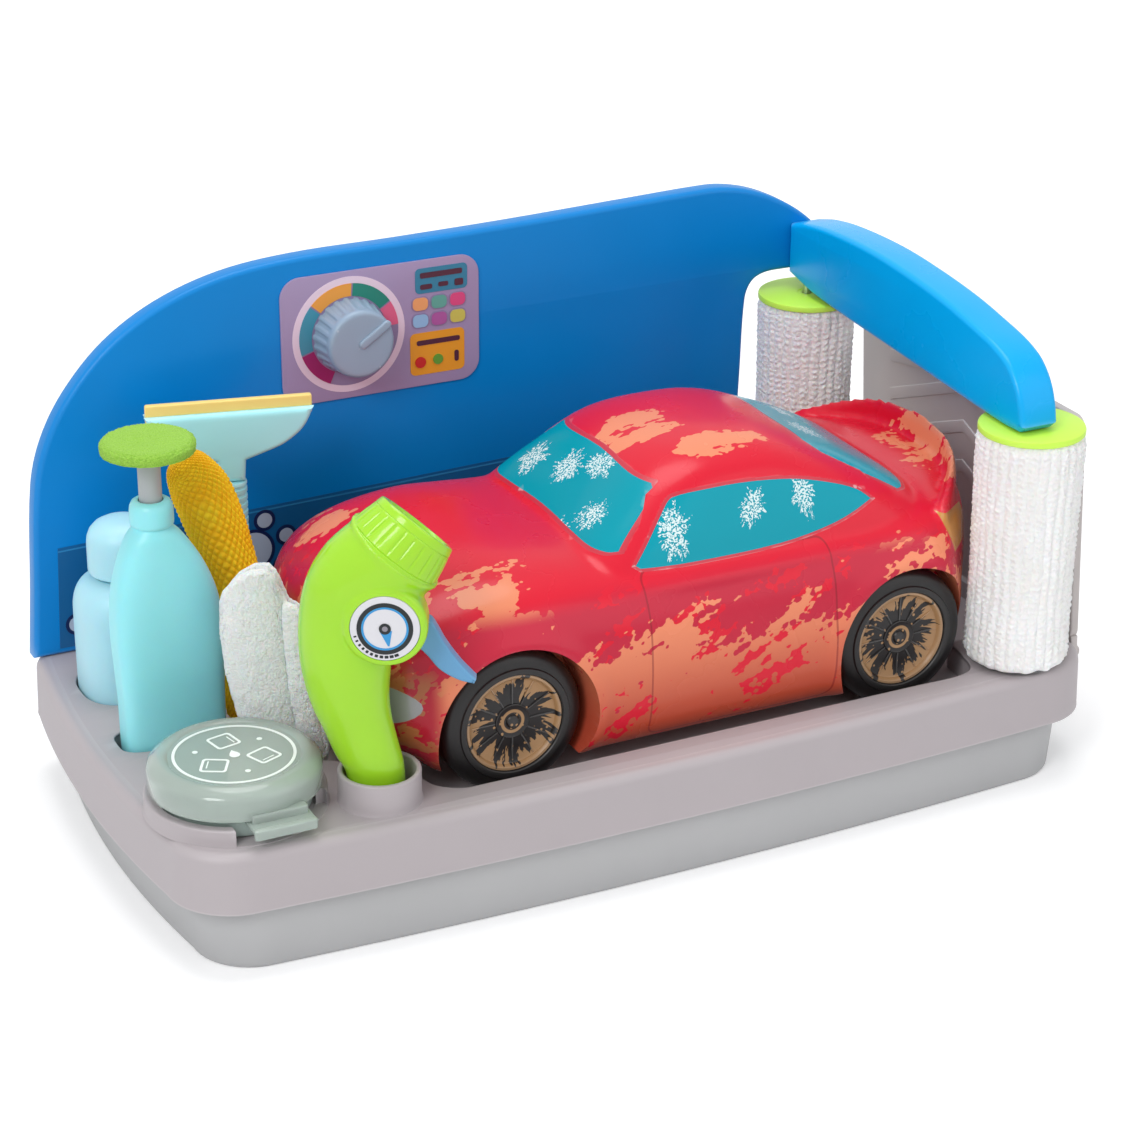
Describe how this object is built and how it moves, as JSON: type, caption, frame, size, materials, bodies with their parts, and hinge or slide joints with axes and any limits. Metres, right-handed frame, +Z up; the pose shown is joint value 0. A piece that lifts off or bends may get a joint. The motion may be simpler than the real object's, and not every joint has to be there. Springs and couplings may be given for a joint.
{
  "type": "toy car wash playset",
  "caption": "Free-standing toy car wash: tray with back wall and arch beam over turning fleece rollers, folding ramp, rolling coupe and lift-out washing tools.",
  "frame": {"origin": "centre of the bounding box, on the floor", "axes": "+X along the tray towards the rollers and ramp, +Y towards the back wall, +Z up"},
  "size_m": [0.42, 0.2124, 0.217],
  "materials": {
    "deck_grey": "fine matte moulded",
    "tub_grey": "fine matte moulded",
    "wall_blue": "semi-gloss moulded",
    "beam_blue": "semi-gloss moulded",
    "sticker": "printed film",
    "knob_grey": "semi-gloss moulded",
    "lime": "semi-gloss moulded",
    "fleece": "ribbed microfibre pile",
    "steel": "plain",
    "ramp_grey": "matte with raised chevrons",
    "car_red": "painted, with mud spatter",
    "window_teal": "painted, with white splashes",
    "lamp_amber": "painted",
    "lamp_grey": "painted",
    "dark_plastic": "matte",
    "tyre_black": "satin",
    "rim_bronze": "painted, with black spatter",
    "sprayer_green": "semi-gloss moulded",
    "gauge_white": "printed film",
    "trigger_blue": "semi-gloss moulded",
    "bottle_aqua": "semi-gloss moulded",
    "soap_aqua": "semi-gloss moulded",
    "stem_grey": "semi-gloss moulded",
    "pad_green": "short scrub pile",
    "squeegee_aqua": "semi-gloss moulded",
    "blade_yellow": "soft matte strip",
    "sponge_yellow": "open mesh over foam",
    "towel_white": "terry",
    "milky": "translucent, frosted"
  },
  "bodies": {
    "tray": {"base_tub": "tub_grey", "tray_deck": "deck_grey", "tray_floor": "deck_grey", "box_ring": "deck_grey", "back_wall": "wall_blue", "arch_beam": "beam_blue", "control_panel": "sticker", "screw_1": "steel", "screw_2": "steel", "screw_3": "steel", "screw_4": "steel", "roller_front_pin": "steel", "roller_rear_pin": "steel", "ramp_rod": "steel"},
    "knob": {"timer_knob": "knob_grey"},
    "roller_front": {"roller_front_drum": "lime", "roller_front_cap": "lime", "roller_front_fleece": "fleece"},
    "roller_rear": {"roller_rear_drum": "lime", "roller_rear_cap": "lime", "roller_rear_fleece": "fleece"},
    "ramp": {"ramp": "ramp_grey"},
    "car": {"car_body": "car_red", "car_underpan": "dark_plastic", "car_side_window_near": "window_teal", "car_side_window_far": "window_teal", "car_windscreen": "window_teal", "car_rear_window": "window_teal", "car_tail_lamp_near": "lamp_amber", "car_tail_lamp_far": "lamp_amber", "car_head_lamp_near": "lamp_grey", "car_head_lamp_far": "lamp_grey"},
    "wheels_front": {"axle_front": "steel", "tyre_front_near": "tyre_black", "tyre_front_far": "tyre_black", "rim_front_near": "rim_bronze", "rim_front_far": "rim_bronze"},
    "wheels_rear": {"axle_rear": "steel", "tyre_rear_near": "tyre_black", "tyre_rear_far": "tyre_black", "rim_rear_near": "rim_bronze", "rim_rear_far": "rim_bronze"},
    "sprayer": {"sprayer_body": "sprayer_green", "sprayer_nozzle": "sprayer_green", "sprayer_gauge": "gauge_white", "sprayer_trigger_pin": "steel"},
    "trigger": {"sprayer_trigger": "trigger_blue"},
    "pump": {"pump_bottle": "bottle_aqua", "pump_collar": "bottle_aqua"},
    "plunger": {"pump_stem": "stem_grey", "pump_scrub_pad": "pad_green"},
    "soap": {"soap_bottle": "soap_aqua"},
    "soap_cap": {"soap_cap": "soap_aqua"},
    "squeegee": {"squeegee_head": "squeegee_aqua", "squeegee_blade": "blade_yellow", "squeegee_grip": "squeegee_aqua"},
    "sponge": {"sponge": "sponge_yellow"},
    "towel": {"towel": "towel_white"},
    "ice_box": {"ice_box": "milky"},
    "ice_lid": {"ice_lid": "milky"}
  },
  "joints": [
    {"name": "knob_turn", "type": "hinge", "parent": "tray", "child": "knob", "pos_m": [-0.058, 0.09, 0.176], "axis": [0, 1, 0], "continuous": true},
    {"name": "roller_front_spin", "type": "hinge", "parent": "tray", "child": "roller_front", "pos_m": [0.17, -0.082, 0.1], "axis": [0, 0, 1], "continuous": true},
    {"name": "roller_rear_spin", "type": "hinge", "parent": "tray", "child": "roller_rear", "pos_m": [0.161, 0.083, 0.1], "axis": [0, 0, 1], "continuous": true},
    {"name": "ramp_fold", "type": "hinge", "parent": "tray", "child": "ramp", "pos_m": [0.2045, 0, 0.046], "axis": [0, 1, 0], "range_deg": [0, 116.5]},
    {"name": "car_lift", "type": "slide", "parent": "tray", "child": "car", "axis": [0, 0, 1], "range_m": [0, 0.014]},
    {"name": "front_wheels_roll", "type": "hinge", "parent": "car", "child": "wheels_front", "pos_m": [-0.0613, -0.01, 0.0711], "axis": [0, 1, 0], "continuous": true},
    {"name": "rear_wheels_roll", "type": "hinge", "parent": "car", "child": "wheels_rear", "pos_m": [0.1156, -0.01, 0.0711], "axis": [0, 1, 0], "continuous": true},
    {"name": "sprayer_lift", "type": "slide", "parent": "tray", "child": "sprayer", "axis": [0, 0, 1], "range_m": [0, 0.04]},
    {"name": "trigger_pull", "type": "hinge", "parent": "sprayer", "child": "trigger", "pos_m": [-0.10829, -0.0847, 0.1256], "axis": [0.4431, 0.8965, 0], "range_deg": [0, 18], "stiffness_Nm_per_rad": 0.04, "springref_deg": -11.46},
    {"name": "pump_lift", "type": "slide", "parent": "tray", "child": "pump", "axis": [0, 0, 1], "range_m": [0, 0.03]},
    {"name": "plunger_press", "type": "slide", "parent": "pump", "child": "plunger", "axis": [0, 0, -1], "range_m": [0, 0.009], "stiffness_N_per_m": 90, "springref_m": -0.004},
    {"name": "soap_lift", "type": "slide", "parent": "tray", "child": "soap", "axis": [0, 0, 1], "range_m": [0, 0.03]},
    {"name": "soap_cap_lift", "type": "slide", "parent": "soap", "child": "soap_cap", "axis": [0, 0, 1], "range_m": [0, 0.015]},
    {"name": "squeegee_lift", "type": "slide", "parent": "tray", "child": "squeegee", "axis": [0, 0, 1], "range_m": [0, 0.03]},
    {"name": "sponge_lift", "type": "slide", "parent": "tray", "child": "sponge", "axis": [0, 0, 1], "range_m": [0, 0.05]},
    {"name": "towel_lift", "type": "slide", "parent": "tray", "child": "towel", "axis": [0, 0, 1], "range_m": [0, 0.05]},
    {"name": "ice_box_lift", "type": "slide", "parent": "tray", "child": "ice_box", "axis": [0, 0, 1], "range_m": [0, 0.01]},
    {"name": "ice_lid_lift", "type": "slide", "parent": "ice_box", "child": "ice_lid", "axis": [0, 0, 1], "range_m": [0, 0.01]}
  ]
}
